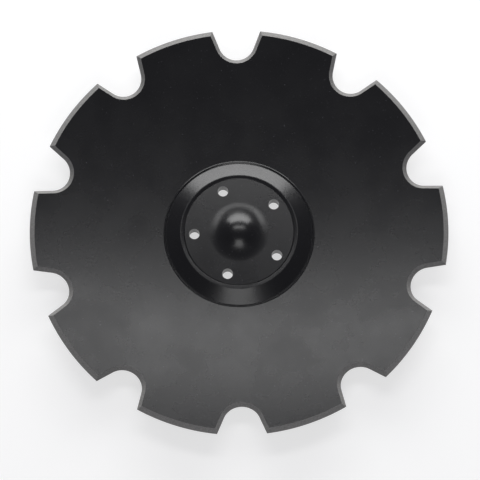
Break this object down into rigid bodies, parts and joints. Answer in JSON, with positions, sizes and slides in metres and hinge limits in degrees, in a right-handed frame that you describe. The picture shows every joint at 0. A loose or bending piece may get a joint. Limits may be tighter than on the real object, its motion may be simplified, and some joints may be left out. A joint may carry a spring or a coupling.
{
  "type": "harrow disc blade",
  "caption": "Shallow dished tillage disc with a notched ground edge and a raised bolted hub, which cuts and turns soil and crop residue.",
  "frame": {"origin": "centre of the hub seat on the back of the blade, on the disc axis, which is also the middle of the base", "axes": "+Z along the disc axis, out of the hollow side; +X through the middle of one notch"},
  "size_m": [0.5066, 0.5098, 0.0376],
  "materials": {
    "blade": "black satin paint over hardened steel, bare and ground at the cutting edge"
  },
  "bodies": {
    "root": {"disc_blade": "blade"}
  },
  "joints": []
}
